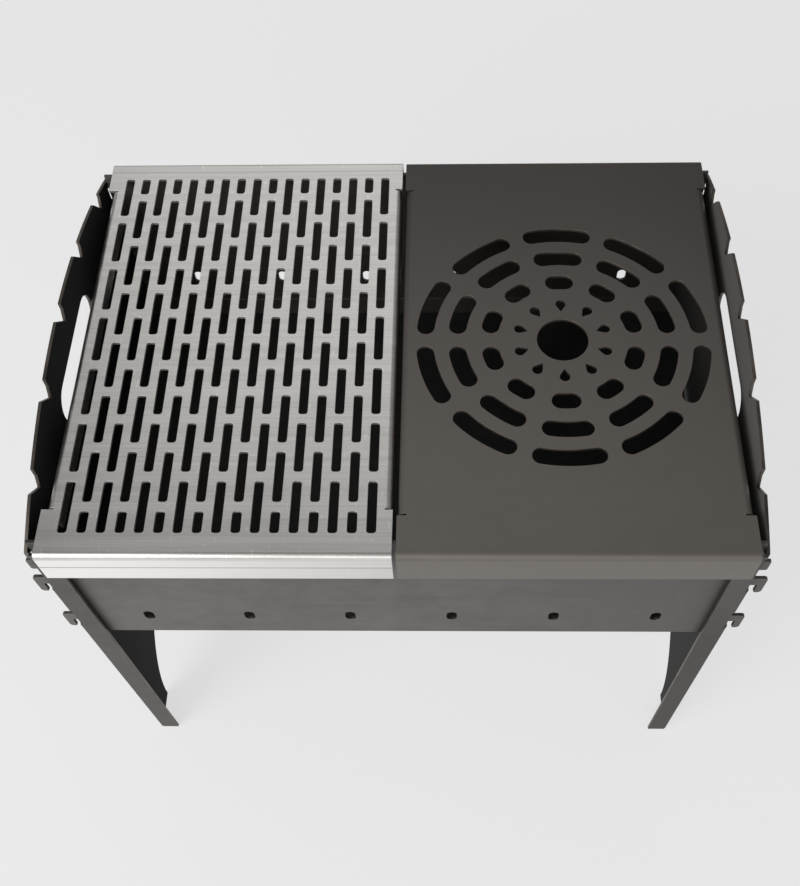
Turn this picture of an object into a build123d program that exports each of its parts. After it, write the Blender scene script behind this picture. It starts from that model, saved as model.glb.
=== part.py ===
from build123d import *
import math
import os

# A knock-down charcoal brazier of folded sheet steel with two lift-off covers, in millimetres.
# Origin: floor level, middle of the overall footprint. +X along the long side, +Y to the rear, +Z up.

# Driving dimensions
SHEET = 3.0                 # thickness of every sheet
FLOOR_TO_COOKTOP = 491.0    # height of the covers' upper face
GAP = 0.3                   # clearance between pieces that only rest on each other

BODY_MIDDLE_Y = 1.5         # the covers lie pushed forward a little on the body
END_INNER_X = 305.2         # inner face of an end panel's web
END_HALF_DEPTH = 216.0      # from the body's middle to the outer face of a leg flange
LEG_FLANGE = 22.0           # width of a leg flange, measured from the web's outer face
LEG_TOP_DROP = 8.0          # top of the leg flanges below the cooktop
END_BEND = 4.0              # outer radius of the bend between web and leg flange
CROWN_RISE = 27.0           # top of the curved web above the cooktop
CROWN_RADIUS = 580.0

NOTCH_PITCH = 81.4          # skewer rests along the curved top edge
NOTCH_COUNT = 5
NOTCH_WIDTH = 21.0
NOTCH_DEPTH = 18.0
NOTCH_WALL = 7.5            # upright part of a notch's rear wall
NOTCH_FOOT = 5.0            # how far a notch's lowest point lies in front of its rear wall
NOTCH_SHIFT = 6.6           # the row of notches sits this far to the rear of the body's middle

HAND_SLOT = (137.0, 40.0)   # length and height, with round ends
HAND_SLOT_DROP = 13.0       # upper edge of the hand slot below the cooktop
HAND_SLOT_SHIFT = 2.6       # to the rear of the body's middle

ARCH_HALF_SPAN = 173.0      # cut-out between the legs, half of an ellipse
ARCH_HEIGHT = 138.0

WALL_HALF_DEPTH = 209.0     # from the body's middle to the outer face of a front or rear panel
WALL_BOTTOM_DROP = 198.0    # underside of the front and rear panels below the cooktop
WALL_END_GAP = 0.5          # between a panel's end and the end panel's web
LEDGE = 38.0                # inward fold that carries the floor plate
LEDGE_BEND = 4.5            # outer radius of that fold

HOOK_DROPS = (71.0, 153.5)  # tops of the two hooks below the cooktop
HOOK_HEIGHT = 29.0
HOOK_REACH = 14.4           # how far a hook stands out of the end panel
HOOK_FINGER = 6.8           # width of the part that hangs down outside
HOOK_NECK = 13.5            # height of the neck that passes through the end panel
HOOK_ROUND = 4.0
HOOK_SLOT_HEIGHT = 36.0     # the lower slot, tall enough for the whole hook to pass
TAB_DROPS = (36.5, 53.5)    # top and bottom of the locating tab above the hooks
TAB_REACH = 8.0
LONG_SLOT_DROP = 20.0       # upper end of the slot for tab and upper hook below the cooktop
CORNER_SLOT_SIDE = 0.5      # clearance of a hook or tab in its slot, each side
CORNER_SLOT_INSET = 3.4     # how far the slots cut into the leg flange

AIR_HOLE = (9.5, 17.0)      # width and height of the upright air holes, with round ends
AIR_HOLE_PITCH = 95.7
AIR_HOLE_COUNT = 6
AIR_HOLE_DROP = 156.0       # centres below the cooktop

FLOOR_DEPTH = 365.0         # loose floor plate on the two ledges
FLOOR_END_GAP = 3.0

COVER_DEPTH = 445.0         # over the front and rear flanges
COVER_FLANGE = 40.0         # height of the front and rear flanges
SIDE_FLANGE_DROP = 37.0     # height of the side flanges
RELIEF = 1.6                # width of the saw-like cut beside a side flange
GRILL_X = (-295.3, -1.2)    # ends of the slotted cover
GRILL_INSETS = (4.5, 1.0)   # its left and right side flange inside its ends
GRILL_SIDE_Y = (-176.2, 183.0)      # front and rear ends of its side flanges
HOB_X = (2.0, 297.8)        # the same for the ring-slot cover
HOB_INSETS = (1.0, 1.5)
HOB_SIDE_Y = (-181.4, 181.6)

GRILL_MIDDLE_X = -146.5     # middle of the field of slots
SLOT_COLUMNS = 17
SLOT_COLUMN_PITCH = 16.0
SLOT_WIDTH = 8.0
SLOT_CORNER = 2.6
SLOT_LENGTH = 49.0
SLOT_ROW_PITCH = 58.4
SLOT_ROWS = 7               # long slots in the odd columns
SHORT_SLOT = 20.2           # end slots of the even columns

HOB_CENTRE = (148.15, -2.9)
HOB_CENTRE_HOLE = 46.5
HOB_SPOKES = 10
HOB_RINGS = ((66.7, 26.0), (96.0, 45.7), (125.0, 64.7))     # radius and overall slot length
HOB_SLOT_WIDTH = 16.0
DROP_TIP_RADIUS = 32.5      # teardrop holes round the centre
DROP_ROUND_RADIUS = 41.0    # centre of the teardrop's round end
DROP_ROUND = 4.6

END_OUTER_X = END_INNER_X + SHEET
COVER_UNDERSIDE = FLOOR_TO_COOKTOP - SHEET


def below_cooktop(drop):
    """Height above the floor of something that lies this far below the cooktop."""
    return FLOOR_TO_COOKTOP - drop


def across_x(sketch, x_from, x_to):
    """A sketch drawn with Y to the right and Z up, extruded from x_from to x_to."""
    return extrude(Plane.YZ.offset(x_from) * sketch, amount=x_to - x_from)


def across_y(sketch, y_from, y_to):
    """A sketch drawn with X to the right and Z up, extruded from y_from to y_to."""
    plane = Plane(origin=(0, y_from, 0), x_dir=(1, 0, 0), z_dir=(0, -1, 0))
    return extrude(plane * sketch, amount=y_from - y_to)


def box(x_from, x_to, y_from, y_to, z_from, z_to):
    """A plain block between two corners."""
    size = (x_to - x_from, y_to - y_from, z_to - z_from)
    middle = ((x_from + x_to) / 2, (y_from + y_to) / 2, (z_from + z_to) / 2)
    return Pos(*middle) * Box(*size)


def crown_height(y):
    """Height of the curved top edge of an end panel, y from the body's middle."""
    centre = FLOOR_TO_COOKTOP + CROWN_RISE - CROWN_RADIUS
    return centre + math.sqrt(CROWN_RADIUS ** 2 - y ** 2)


def notch(y_middle):
    """One skewer rest: an upright rear wall, then a slope that rises towards the front."""
    rear = y_middle + NOTCH_WIDTH / 2
    front = y_middle - NOTCH_WIDTH / 2
    over = crown_height(0) + SHEET
    top = crown_height(y_middle)
    return Polygon(
        (rear, over), (rear, top - NOTCH_WALL), (rear - NOTCH_FOOT, top - NOTCH_DEPTH),
        (front, crown_height(front)), (front, over), align=None)


def end_panel_outline():
    """The end panel's web from the side: legs, arch, curved top, notches and hand slot."""
    tall = crown_height(0) + 20
    crown = Pos(0, crown_height(0) - CROWN_RADIUS) * Circle(CROWN_RADIUS)
    outline = Pos(0, tall / 2) * Rectangle(2 * END_HALF_DEPTH + 20, tall) & crown
    for index in range(NOTCH_COUNT):
        outline -= notch(NOTCH_SHIFT + (index - (NOTCH_COUNT - 1) / 2) * NOTCH_PITCH)
    outline -= Ellipse(ARCH_HALF_SPAN, ARCH_HEIGHT)
    length, height = HAND_SLOT
    middle = Pos(HAND_SLOT_SHIFT, below_cooktop(HAND_SLOT_DROP) - height / 2)
    return outline - middle * SlotOverall(length, height)


def corner_slots(side):
    """Upright slots through a leg's corner: a long one for tab and upper hook, one for the lower."""
    near = WALL_HALF_DEPTH - SHEET - CORNER_SLOT_SIDE
    low_y, high_y = sorted((side * near, side * (END_HALF_DEPTH + 1)))
    inside = END_OUTER_X - CORNER_SLOT_INSET
    upper, lower = [below_cooktop(drop + HOOK_NECK) - GAP for drop in HOOK_DROPS]
    slots = [(upper, below_cooktop(LONG_SLOT_DROP)), (lower, lower + HOOK_SLOT_HEIGHT)]
    return [box(inside, END_OUTER_X + 1, low_y, high_y, low, high) for low, high in slots]


def end_panel():
    """Right end panel: a web with a leg flange folded inwards along its front and rear edge."""
    tall = crown_height(0) + 20
    inward = END_OUTER_X - LEG_FLANGE
    channel = box(inward, END_OUTER_X, -END_HALF_DEPTH, END_HALF_DEPTH, 0, tall)
    outer_edges = channel.edges().filter_by(Axis.Z).group_by(Axis.X)[-1]
    channel = fillet(outer_edges, END_BEND)
    hollow_half = END_HALF_DEPTH - SHEET
    hollow = box(inward - 10, END_INNER_X, -hollow_half, hollow_half, -10, tall + 10)
    inner_edges = hollow.edges().filter_by(Axis.Z).group_by(Axis.X)[-1]
    hollow = fillet(inner_edges, END_BEND - SHEET)
    panel = (channel - hollow) & across_x(end_panel_outline(), inward - 5, END_OUTER_X + 5)
    leg_top = below_cooktop(LEG_TOP_DROP)
    for side in (-1, 1):
        low_y, high_y = sorted((side * (hollow_half - 1), side * (END_HALF_DEPTH + 1)))
        panel -= box(inward - 1, END_OUTER_X + 1, low_y, high_y, leg_top, tall)
        panel -= corner_slots(side)
    return Pos(0, BODY_MIDDLE_Y, 0) * panel


def hook(side, drop):
    """A hook at one end of a front or rear panel: neck through the end panel, finger down."""
    inner = END_INNER_X - WALL_END_GAP - 5
    outer = END_OUTER_X + HOOK_REACH
    top = below_cooktop(drop)
    neck = Pos((inner + outer) / 2, top - HOOK_NECK / 2) * Rectangle(outer - inner, HOOK_NECK)
    finger_middle = (outer - HOOK_FINGER / 2, top - HOOK_HEIGHT / 2)
    shape = neck + Pos(*finger_middle) * Rectangle(HOOK_FINGER, HOOK_HEIGHT)
    outer_corners = shape.vertices().group_by(Axis.X)[-1]
    shape = fillet(outer_corners, HOOK_ROUND)
    tip = shape.vertices().group_by(Axis.Y)[0].sort_by(Axis.X)[0]
    shape = fillet(tip, HOOK_ROUND / 2)
    return shape if side > 0 else mirror(shape, about=Plane.YZ)


def locating_tab(side):
    """A short tab above the hooks that keeps the end panel upright at the top of its long slot."""
    inner = END_INNER_X - WALL_END_GAP - 5
    outer = END_OUTER_X + TAB_REACH
    height = TAB_DROPS[1] - TAB_DROPS[0]
    middle_height = below_cooktop(TAB_DROPS[0]) - height / 2
    shape = Pos((inner + outer) / 2, middle_height) * Rectangle(outer - inner, height)
    shape = fillet(shape.vertices().group_by(Axis.X)[-1], HOOK_ROUND / 2)
    return shape if side > 0 else mirror(shape, about=Plane.YZ)


def front_panel():
    """Front wall of the fire box: air holes, hooks and tabs at both ends, ledge folded inwards."""
    half = END_INNER_X - WALL_END_GAP
    bottom = below_cooktop(WALL_BOTTOM_DROP)
    top = COVER_UNDERSIDE - GAP
    outer_y = -WALL_HALF_DEPTH
    folded = box(-half, half, outer_y, outer_y + LEDGE, bottom, top)
    fold_edge = folded.edges().filter_by(Axis.X).group_by(Axis.Z)[0].sort_by(Axis.Y)[0]
    folded = fillet(fold_edge, LEDGE_BEND)
    hollow = box(-half - 5, half + 5, outer_y + SHEET, 0, bottom + SHEET, top + 5)
    inner_edge = hollow.edges().filter_by(Axis.X).group_by(Axis.Z)[0].sort_by(Axis.Y)[0]
    panel = folded - fillet(inner_edge, LEDGE_BEND - SHEET)
    for side in (-1, 1):
        panel += across_y(locating_tab(side), outer_y, outer_y + SHEET)
        for drop in HOOK_DROPS:
            panel += across_y(hook(side, drop), outer_y, outer_y + SHEET)
    holes = Sketch()
    width, height = AIR_HOLE
    for index in range(AIR_HOLE_COUNT):
        x = (index - (AIR_HOLE_COUNT - 1) / 2) * AIR_HOLE_PITCH
        holes += Pos(x, below_cooktop(AIR_HOLE_DROP)) * SlotOverall(height, width, rotation=90)
    return panel - across_y(holes, outer_y - 5, outer_y + SHEET + 5)


def floor_plate():
    """Loose plate that carries the coals and lies on the ledges of both walls."""
    bottom = below_cooktop(WALL_BOTTOM_DROP) + SHEET + GAP
    half = END_INNER_X - FLOOR_END_GAP
    plate = box(-half, half, -FLOOR_DEPTH / 2, FLOOR_DEPTH / 2, bottom, bottom + SHEET)
    return Pos(0, BODY_MIDDLE_Y, 0) * plate


def cover_blank(x_from, x_to, bend, insets, side_y):
    """A folded cover: full-width front and rear flanges, side flanges between corner ears."""
    half = COVER_DEPTH / 2
    bottom = below_cooktop(COVER_FLANGE)
    shell = box(x_from, x_to, -half, half, bottom, FLOOR_TO_COOKTOP)
    shell = fillet(shell.edges().filter_by(Axis.X).group_by(Axis.Z)[-1], bend)
    inside = half - SHEET
    hollow = box(x_from - 5, x_to + 5, -inside, inside, bottom - 5, COVER_UNDERSIDE)
    hollow = fillet(hollow.edges().filter_by(Axis.X).group_by(Axis.Z)[-1], bend - SHEET)
    cover = shell - hollow
    cut_from = side_y[0] - RELIEF
    cut_to = side_y[1] + RELIEF
    for edge_x, inward, inset in ((x_from, 1, insets[0]), (x_to, -1, insets[1])):
        flange_x = edge_x + inward * inset
        cut_x = flange_x + inward * bend
        low, high = sorted((edge_x - inward, cut_x))
        cover -= box(low, high, cut_from, cut_to, COVER_UNDERSIDE - 1, FLOOR_TO_COOKTOP + 1)
        cover += side_flange(flange_x, inward, bend, side_y)
    return cover


def side_flange(outer_x, inward, bend, side_y):
    """One side flange with its bend, up to where the flat top begins."""
    flat_x = outer_x + inward * (bend + 1)
    low, high = sorted((outer_x, flat_x))
    bottom = below_cooktop(SIDE_FLANGE_DROP)
    strip = box(low, high, *side_y, bottom, FLOOR_TO_COOKTOP)
    side = 0 if inward > 0 else -1
    outer_edge = strip.edges().filter_by(Axis.Y).group_by(Axis.Z)[-1].sort_by(Axis.X)[side]
    strip = fillet(outer_edge, bend)
    low, high = sorted((outer_x + inward * SHEET, flat_x + inward * 10))
    hollow = box(low, high, side_y[0] - 5, side_y[1] + 5, bottom - 5, COVER_UNDERSIDE)
    inner_edge = hollow.edges().filter_by(Axis.Y).group_by(Axis.Z)[-1].sort_by(Axis.X)[side]
    return strip - fillet(inner_edge, bend - SHEET)


def slot_field():
    """Staggered slots: long ones in odd columns, the same half a pitch on in even columns."""
    long_slot = RectangleRounded(SLOT_WIDTH, SLOT_LENGTH, SLOT_CORNER)
    short_slot = RectangleRounded(SLOT_WIDTH, SHORT_SLOT, SLOT_CORNER)
    places_long = []
    places_short = []
    field_half = ((SLOT_ROWS - 1) * SLOT_ROW_PITCH + SLOT_LENGTH) / 2
    for column in range(SLOT_COLUMNS):
        x = (column - (SLOT_COLUMNS - 1) / 2) * SLOT_COLUMN_PITCH
        shifted = column % 2
        rows = SLOT_ROWS - shifted
        for row in range(rows):
            places_long.append(Pos(x, (row - (rows - 1) / 2) * SLOT_ROW_PITCH))
        if shifted:
            for side in (-1, 1):
                places_short.append(Pos(x, side * (field_half - SHORT_SLOT / 2)))
    return [place * long_slot for place in places_long] + \
           [place * short_slot for place in places_short]


def slotted_grill_plate():
    """Left cover: a brushed stainless grill plate."""
    cover = cover_blank(*GRILL_X, bend=5.5, insets=GRILL_INSETS, side_y=GRILL_SIDE_Y)
    middle = Pos(GRILL_MIDDLE_X, 0, COVER_UNDERSIDE - 2)
    cutters = [extrude(middle * slot, amount=SHEET + 4) for slot in slot_field()]
    return cover - cutters


def teardrop():
    """A hole with a round outer end and a point towards the hob's centre."""
    reach = DROP_ROUND_RADIUS - DROP_TIP_RADIUS
    tangent = math.acos(DROP_ROUND / reach)
    x = DROP_ROUND_RADIUS - DROP_ROUND * math.cos(tangent)
    y = DROP_ROUND * math.sin(tangent)
    wedge = Polygon((DROP_TIP_RADIUS, 0), (x, -y), (x, y), align=None)
    return wedge + Pos(DROP_ROUND_RADIUS, 0) * Circle(DROP_ROUND)


def ring_slot(radius, length):
    """An arc-shaped slot with round ends, centred on the +X direction."""
    sweep = math.degrees((length - HOB_SLOT_WIDTH) / radius)
    return SlotArc(CenterArc((0, 0), radius, -sweep / 2, sweep), HOB_SLOT_WIDTH)


def ring_hob_plate():
    """Right cover: a steel plate with rings of slots round a centre hole, for a round pot."""
    cover = cover_blank(*HOB_X, bend=7.0, insets=HOB_INSETS, side_y=HOB_SIDE_Y)
    centre = Pos(*HOB_CENTRE, COVER_UNDERSIDE - 2)
    openings = [Circle(HOB_CENTRE_HOLE / 2)]
    for spoke in range(HOB_SPOKES):
        turn = Rot(0, 0, 90 + spoke * 360 / HOB_SPOKES)
        openings.append(turn * teardrop())
        for radius, length in HOB_RINGS:
            openings.append(turn * ring_slot(radius, length))
    return cover - [extrude(centre * opening, amount=SHEET + 4) for opening in openings]


def write(name, shape):
    """Writes one sub-part under its node's name."""
    export_step(shape, f"parts/{name}.step")


os.makedirs("parts", exist_ok=True)
front = front_panel()
right_end = end_panel()
write("front_panel", Pos(0, BODY_MIDDLE_Y, 0) * front)
write("rear_panel", Pos(0, BODY_MIDDLE_Y, 0) * mirror(front, about=Plane.XZ))
write("right_end_panel", right_end)
write("left_end_panel", mirror(right_end, about=Plane.YZ))
write("floor_plate", floor_plate())
write("slotted_grill_plate", slotted_grill_plate())
write("ring_hob_plate", ring_hob_plate())
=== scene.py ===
import math

import bmesh
import bpy
from mathutils import Matrix, Vector
from mathutils.bvhtree import BVHTree


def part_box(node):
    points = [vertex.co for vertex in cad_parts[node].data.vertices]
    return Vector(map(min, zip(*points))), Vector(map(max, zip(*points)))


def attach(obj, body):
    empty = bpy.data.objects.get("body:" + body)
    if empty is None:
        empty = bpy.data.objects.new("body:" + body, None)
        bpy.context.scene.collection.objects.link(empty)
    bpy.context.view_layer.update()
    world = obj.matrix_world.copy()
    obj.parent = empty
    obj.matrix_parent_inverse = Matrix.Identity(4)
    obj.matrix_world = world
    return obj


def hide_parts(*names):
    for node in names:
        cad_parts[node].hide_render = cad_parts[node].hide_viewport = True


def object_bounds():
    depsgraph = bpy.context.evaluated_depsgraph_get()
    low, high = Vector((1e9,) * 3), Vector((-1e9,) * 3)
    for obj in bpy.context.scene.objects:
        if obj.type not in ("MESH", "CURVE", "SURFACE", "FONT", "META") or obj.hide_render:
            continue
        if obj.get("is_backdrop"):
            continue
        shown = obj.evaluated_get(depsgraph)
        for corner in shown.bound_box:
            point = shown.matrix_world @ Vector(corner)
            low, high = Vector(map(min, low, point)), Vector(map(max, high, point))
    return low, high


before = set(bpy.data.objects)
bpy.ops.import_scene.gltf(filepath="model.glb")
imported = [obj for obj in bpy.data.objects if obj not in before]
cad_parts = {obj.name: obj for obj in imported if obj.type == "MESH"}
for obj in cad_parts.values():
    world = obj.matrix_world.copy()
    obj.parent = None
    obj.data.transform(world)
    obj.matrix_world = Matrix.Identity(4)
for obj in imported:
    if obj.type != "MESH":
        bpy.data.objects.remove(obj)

cad_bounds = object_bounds()


# ---- End panels ----------------------------------------------------------------------------
# The two end panels are laser-cut from 3 mm hot-rolled sheet and folded once along each leg.
# They stand on the ground, and the walls hang on them by hooks that pass through the corners.

SHEET = 0.003                   # thickness of every sheet
ARRIS = 0.00028                 # how far the deburring wheel takes the sharp edges back
SHARP_EDGE = math.radians(35)   # folds and round outlines turn less than this between two faces
SAME_PLANE = math.radians(0.4)  # neighbouring faces this close in direction become one
SAME_POINT = 1e-6
JUST_INSIDE = 1e-5              # how far under a face the ray that measures its depth starts
SOOT_EDGE_X = (0.3060, 0.3056)  # soot fades out between these distances from the middle
SOOT_EDGE_Y = (0.2150, 0.2135)


def is_cut_edge(face, solid):
    """Whether a face is the cut edge of the sheet: the metal behind it is deeper than the sheet."""
    start = face.calc_center_median_weighted() - face.normal * JUST_INSIDE
    hit = solid.ray_cast(start, -face.normal)
    return hit[0] is not None and hit[3] > SHEET * 1.15


def deburred_sheet(node, body, face_finish, edge_finish):
    """The sheet of a CAD node with its arrises eased, and its own finish on the cut edges."""
    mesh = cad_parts[node].data.copy()
    mesh.materials.clear()
    mesh.materials.append(face_finish)
    mesh.materials.append(edge_finish)
    form = bmesh.new()
    form.from_mesh(mesh)
    bmesh.ops.remove_doubles(form, verts=form.verts, dist=SAME_POINT)
    form.normal_update()
    solid = BVHTree.FromBMesh(form)
    for face in form.faces:
        face.material_index = int(is_cut_edge(face, solid))
    bmesh.ops.dissolve_limit(
        form, angle_limit=SAME_PLANE, verts=form.verts, edges=form.edges, delimit={"MATERIAL"})
    for face in form.faces:
        face.smooth = True
    form.to_mesh(mesh)
    form.free()
    sheet = bpy.data.objects.new(node + "_sheet", mesh)
    bpy.context.scene.collection.objects.link(sheet)
    ease = sheet.modifiers.new("eased arrises", "BEVEL")
    ease.width = ARRIS
    ease.segments = 2
    ease.limit_method = "ANGLE"
    ease.angle_limit = SHARP_EDGE
    ease.use_clamp_overlap = False
    ease.material = 1
    flat = sheet.modifiers.new("flat faces", "WEIGHTED_NORMAL")
    flat.keep_sharp = True
    flat.weight = 100
    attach(sheet, body)
    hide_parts(node)
    return sheet


class Signal:
    """A value, colour or vector on its way between the nodes of one material."""

    def __init__(self, tree, socket=None):
        self.tree = tree
        self.socket = socket

    def node(self, kind, settings=None, inputs=None, output=0):
        """Adds a node: its settings are put in first, then the values or links of its sockets."""
        made = self.tree.nodes.new(kind)
        for key, value in (settings or {}).items():
            setattr(made, key, value)
        for key, value in (inputs or {}).items():
            if isinstance(value, Signal):
                self.tree.links.new(value.socket, made.inputs[key])
            else:
                made.inputs[key].default_value = value
        return Signal(self.tree, made.outputs[output] if made.outputs else None)

    def maths(self, operation, *values):
        """The result of an operation on one or two values."""
        return self.node("ShaderNodeMath", {"operation": operation}, dict(enumerate(values)))

    def size(self):
        """This value without its sign."""
        return self.maths("ABSOLUTE", self)

    def __add__(self, other):
        return self.maths("ADD", self, other)

    def __radd__(self, other):
        return self.maths("ADD", other, self)

    def __sub__(self, other):
        return self.maths("SUBTRACT", self, other)

    def __rsub__(self, other):
        return self.maths("SUBTRACT", other, self)

    def __mul__(self, other):
        return self.maths("MULTIPLY", self, other)

    def __rmul__(self, other):
        return self.maths("MULTIPLY", other, self)

    def between(self, low, high):
        """0 at low and 1 at high, whichever is larger, and a smooth change between them."""
        inputs = {"Value": self, "From Min": low, "From Max": high}
        return self.node("ShaderNodeMapRange", {"interpolation_type": "SMOOTHSTEP"}, inputs)

    def along(self, axis):
        """One coordinate of this vector."""
        return self.node("ShaderNodeSeparateXYZ", None, {0: self}, output="XYZ".index(axis))

    def near(self, value, width):
        """1 where this is close to a value, falling to 0 at that distance."""
        return (self - value).size().between(width, width * 0.3)

    def times(self, vector):
        """A vector stretched along each axis."""
        return self.node("ShaderNodeVectorMath", {"operation": "MULTIPLY"}, {0: self, 1: vector})

    def noise(self, scale, detail=3.0, roughness=0.55, distortion=0.0):
        """Smooth random values at these coordinates, about 0.5 on average."""
        inputs = {"Vector": self, "Scale": scale, "Detail": detail,
                  "Roughness": roughness, "Distortion": distortion}
        return self.node("ShaderNodeTexNoise", {"normalize": True}, inputs)

    def tint(self, one, other):
        """A colour that goes from one to the other as this value goes from 0 to 1."""
        return self.node("ShaderNodeMix", {"data_type": "RGBA"}, {0: self, 6: one, 7: other}, output=2)


def finish_tree(name):
    """An empty material with its metre coordinates, fixed to the sheet."""
    material = bpy.data.materials.new(name)
    material.use_nodes = True
    tree = material.node_tree
    tree.nodes.clear()
    place = Signal(tree).node("ShaderNodeTexCoord", output=3)
    return material, place


def close_finish(place, look, relief=None, depth=None):
    """Ends a material with its shader, and with a relief this deep where it has one."""
    inputs = dict(look)
    if relief is not None:
        inputs["Normal"] = place.node(
            "ShaderNodeBump", None, {"Height": relief, "Distance": depth, "Strength": 1.0})
    shader = place.node("ShaderNodeBsdfPrincipled", None, inputs)
    place.node("ShaderNodeOutputMaterial", None, {"Surface": shader})


def hot_rolled(name, dark, light, brown, roughness, streaks=(1, 1, 1), shade=None, soot=None):
    """Hot-rolled steel with its mill scale: cloudy, faintly streaked, satin, brown in places.

    shade paints light and shade into the colour from place to place, and soot says where it is dull
    and sooted.
    """
    material, place = finish_tree(name)
    clouds = place.noise(7.0, detail=5.0, roughness=0.6)
    mottle = place.noise(70.0, detail=3.0)
    streak = place.times(streaks).noise(16.0, detail=4.0, roughness=0.65)
    grain = place.noise(900.0, detail=2.0)
    tone = (clouds * 0.5 + mottle * 0.25 + streak * 0.25).between(0.25, 0.75)
    colour = tone.tint(dark, light)
    warm = place.noise(4.0, detail=2.0, distortion=0.6).between(0.5, 0.72) * 0.5
    colour = warm.tint(colour, brown)
    if shade:
        colour = shade(place, colour)
    rough = roughness - 0.06 + clouds * 0.12 + grain * 0.05
    look = {"Base Color": colour, "Roughness": rough, "Metallic": 0.5, "Specular IOR Level": 0.4}
    if soot:
        sooted = soot(place) * 0.5
        look["Metallic"] = 0.5 - sooted
        look["Roughness"] = rough + sooted
    close_finish(place, look, relief=mottle * 0.5 + grain * 0.5, depth=0.00006)
    return material


def cut_steel(name, dark, light):
    """The edge a laser leaves: fine drag lines through the thickness under a thin oxide."""
    material, place = finish_tree(name)
    drag = place.noise(2600.0, detail=2.0)
    heat = place.noise(35.0, detail=3.0)
    colour = (drag * 0.4 + heat * 0.6).between(0.35, 0.65).tint(dark, light)
    look = {"Base Color": colour, "Roughness": 0.34 + drag * 0.2, "Metallic": 0.8}
    close_finish(place, look, relief=drag, depth=0.00005)
    return material


def facing_fire(place):
    """1 on the side of an end panel that faces the fire, 0 elsewhere."""
    inside_web = place.along("X").size().between(*SOOT_EDGE_X)
    return inside_web * place.along("Y").size().between(*SOOT_EDGE_Y)


def soot_and_painted_shade(place, colour):
    """Painted shade: the right panel is painted darker than the left. Towards the fire both are
    sooted, and painted shade makes the left one darker still.
    """
    on_right = place.along("X").between(-0.1, 0.1)
    # Painted shade: the right panel's colour is darkened, as if it stood in less light.
    colour = (on_right * 0.7).tint(colour, (0.052, 0.048, 0.045, 1))
    # Soot on the fire side, darker towards the bottom.
    height = place.along("Z").between(0.28, 0.42)
    sooted = height.tint((0.03, 0.029, 0.028, 1), (0.13, 0.122, 0.116, 1))
    # Painted shade: the left panel's fire side is painted near black, darker than the right one's.
    sooted = on_right.tint((0.009, 0.008, 0.008, 1), sooted)
    return facing_fire(place).tint(colour, sooted)


end_steel = hot_rolled(
    "end_steel", (0.095, 0.088, 0.083, 1), (0.155, 0.146, 0.138, 1), (0.165, 0.135, 0.11, 1),
    roughness=0.45, streaks=(1, 0.4, 6), shade=soot_and_painted_shade, soot=facing_fire)
end_edge = cut_steel("end_edge", (0.06, 0.052, 0.045, 1), (0.15, 0.13, 0.112, 1))
for side in ("left", "right"):
    deburred_sheet(side + "_end_panel", side + "_end", end_steel, end_edge)


# ---- Front and rear walls ------------------------------------------------------------------
# Two equal walls of the same sheet, folded inwards at the bottom into a ledge. Each has six air
# holes, two hooks and a locating tab at either end, and hangs between the end panels.


def painted_shade_right(place, colour):
    """Painted shade: the colour darkens towards the right."""
    on_right = place.along("X").between(-0.05, 0.32)
    return (on_right * 0.6).tint(colour, (0.075, 0.070, 0.064, 1))


wall_steel = hot_rolled(
    "wall_steel", (0.10, 0.094, 0.089, 1), (0.17, 0.16, 0.152, 1), (0.15, 0.13, 0.11, 1),
    roughness=0.5, streaks=(0.35, 1, 7), shade=painted_shade_right)
wall_edge = cut_steel("wall_edge", (0.06, 0.055, 0.05, 1), (0.14, 0.125, 0.11, 1))
for side in ("front", "rear"):
    deburred_sheet(side + "_panel", "walls", wall_steel, wall_edge)


# ---- Floor plate ---------------------------------------------------------------------------
# A loose plate that lies on the two ledges and carries the coals. It is plain dark sheet.

floor_steel = hot_rolled(
    "floor_steel", (0.03, 0.03, 0.03, 1), (0.07, 0.068, 0.065, 1), (0.08, 0.06, 0.05, 1),
    roughness=0.6)
floor_edge = cut_steel("floor_edge", (0.08, 0.075, 0.07, 1), (0.2, 0.18, 0.16, 1))
deburred_sheet("floor_plate", "ember_floor", floor_steel, floor_edge)


# ---- Slotted grill cover -------------------------------------------------------------------
# A lift-off cover of stainless sheet, brushed along its width before it was cut and folded.
# Staggered slots let the heat through, and flanges on all four sides keep it in place.

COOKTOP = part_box("slotted_grill_plate")[1].z
SCORE_Z = COOKTOP - 0.019       # a dark line round the flanges
CREASE_Y = 0.209                # a faint line across the top, near the rear bend


def brushed_stainless(name):
    """Stainless brushed along X: fine lines, soft bands and small rubs, with a highlight painted on
    the flanges, strongest towards the left.
    """
    material, place = finish_tree(name)
    fine = place.times((1.2, 1400.0, 900.0)).noise(1.0, detail=3.0, roughness=0.7)
    bands = place.times((2.5, 170.0, 60.0)).noise(1.0, detail=4.0, roughness=0.65)
    clouds = place.noise(6.0, detail=3.0)
    tone = (fine * 0.4 + bands * 0.4 + clouds * 0.2).between(0.3, 0.7)
    colour = tone.tint((0.55, 0.535, 0.51, 1), (0.84, 0.82, 0.79, 1))
    rubs = place.times((320.0, 90.0, 90.0)).noise(1.0, detail=2.0).between(0.64, 0.72) * 0.4
    colour = rubs.tint(colour, (0.95, 0.94, 0.92, 1))
    # Painted highlight: the flanges below the bend are painted paler towards the left.
    below_bend = place.along("Z").between(COOKTOP - 0.004, COOKTOP - 0.007)
    painted_highlight = below_bend * place.along("X").between(0.12, -0.3)
    colour = painted_highlight.tint(colour, (1.0, 0.985, 0.96, 1))
    score = place.along("Z").near(SCORE_Z, 0.0009) * 0.75
    crease = place.along("Y").near(CREASE_Y, 0.0008) * 0.4
    colour = (score + crease).tint(colour, (0.16, 0.155, 0.15, 1))
    look = {"Base Color": colour, "Roughness": 0.25 + bands * 0.13 + clouds * 0.06, "Metallic": 1.0}
    close_finish(place, look, relief=fine, depth=0.00003)
    return material


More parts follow.
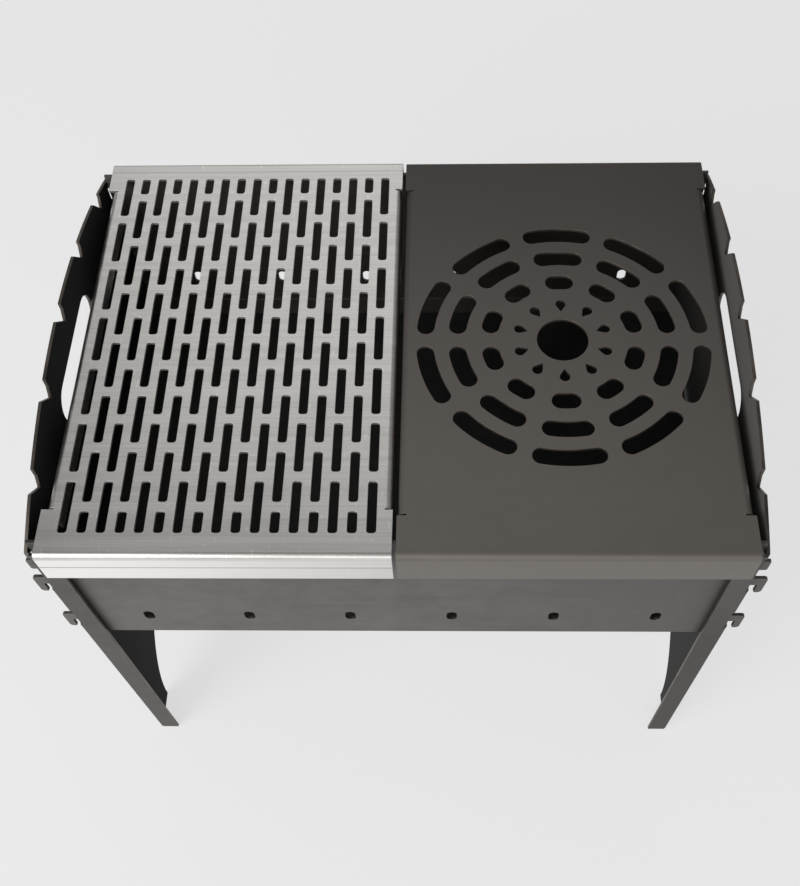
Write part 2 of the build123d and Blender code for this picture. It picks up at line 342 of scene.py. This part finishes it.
stainless = brushed_stainless("brushed_stainless")
stainless_edge = cut_steel("stainless_edge", (0.42, 0.40, 0.38, 1), (0.8, 0.79, 0.77, 1))
deburred_sheet("slotted_grill_plate", "grill_cover", stainless, stainless_edge)


# ---- Ring-slot hob cover -------------------------------------------------------------------
# The second lift-off cover, of dark hot-rolled sheet, with three rings of slots and a ring of
# teardrop holes round a centre hole, so that the flame is spread under a round pot.


def painted_light_front(place, colour):
    """Painted light and shade: lighter towards the front, darker towards the rear."""
    at_front = place.along("Y").between(0.26, -0.24)
    return at_front.tint((0.064, 0.057, 0.052, 1), colour)


hob_steel = hot_rolled(
    "hob_steel", (0.152, 0.138, 0.124, 1), (0.172, 0.157, 0.142, 1), (0.17, 0.15, 0.133, 1),
    roughness=0.42, streaks=(0.5, 5, 1), shade=painted_light_front)
hob_edge = cut_steel("hob_edge", (0.1, 0.09, 0.08, 1), (0.24, 0.21, 0.18, 1))
deburred_sheet("ring_hob_plate", "hob_cover", hob_steel, hob_edge)


# ---- Studio --------------------------------------------------------------------------------
# A pale floor that is lit evenly, a soft key light from the left front, a low one in front, a
# broad panel above the rear, and a dim surround. The camera looks down from standing height.

FLOOR_RADIUS = 14.0
FLOOR_GLOW = 0.66
LIT_MIDDLE = Vector((0, 0, 0.4))    # the lights face this point in the middle of the brazier

floor_mesh = bpy.data.meshes.new("studio_floor")
form = bmesh.new()
bmesh.ops.create_circle(form, cap_ends=True, radius=FLOOR_RADIUS, segments=96)
form.to_mesh(floor_mesh)
form.free()
studio_floor = bpy.data.objects.new("studio_floor", floor_mesh)
bpy.context.scene.collection.objects.link(studio_floor)
pale, place = finish_tree("pale_floor")
floor_look = {"Base Color": (0.2, 0.2, 0.2, 1), "Roughness": 0.9,
              "Emission Color": (1, 1, 1, 1), "Emission Strength": FLOOR_GLOW}
close_finish(place, floor_look)
floor_mesh.materials.append(pale)
studio_floor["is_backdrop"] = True


def soft_light(name, place, width, height, power):
    """A soft box that faces the middle of the brazier."""
    light = bpy.data.lights.new(name, "AREA")
    light.energy = power
    light.shape = "RECTANGLE"
    light.size = width
    light.size_y = height
    lamp = bpy.data.objects.new(name, light)
    lamp.location = place
    lamp.rotation_euler = (LIT_MIDDLE - Vector(place)).to_track_quat("-Z", "Y").to_euler()
    bpy.context.scene.collection.objects.link(lamp)


soft_light("key", (-1.9, -1.7, 2.3), 1.8, 1.8, 53)
soft_light("panel", (-0.15, 2.3, 2.6), 2.6, 2.6, 12.5)
soft_light("front", (-0.5, -3.0, 1.7), 4.0, 2.0, 34)

world = bpy.data.worlds.new("surround")
world.use_nodes = True
background = world.node_tree.nodes["Background"].inputs
background["Color"].default_value = (0.9, 0.9, 0.9, 1)
background["Strength"].default_value = 0.25
bpy.context.scene.world = world
bpy.context.scene.view_settings.view_transform = "Standard"

CAMERA_PLACE = Vector((0.0461, -0.5936, COOKTOP + 0.7685))
PITCH = math.radians(61.211)    # how far it looks down
YAW = math.radians(2.764)       # how far it turns to the left
ROLL = math.radians(2.399)
forward = Vector((-math.sin(YAW) * math.cos(PITCH), math.cos(YAW) * math.cos(PITCH), -math.sin(PITCH)))
level = Vector((math.cos(YAW), math.sin(YAW), 0))
down = forward.cross(level)
right = level * math.cos(ROLL) + down * math.sin(ROLL)
below = down * math.cos(ROLL) - level * math.sin(ROLL)
camera = bpy.data.cameras.new("camera")
camera.lens = 42.887
camera.shift_x = -0.0287
camera.shift_y = 0.0679
viewer = bpy.data.objects.new("camera", camera)
turn = Matrix((right, -below, -forward)).transposed().to_4x4()
viewer.matrix_world = Matrix.Translation(CAMERA_PLACE) @ turn
bpy.context.scene.collection.objects.link(viewer)
bpy.context.scene.camera = viewer

boxes = {"cad": cad_bounds, "visual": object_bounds()}
for name, box in boxes.items():
    boxes[name] = [[float(value) for value in corner] for corner in box]
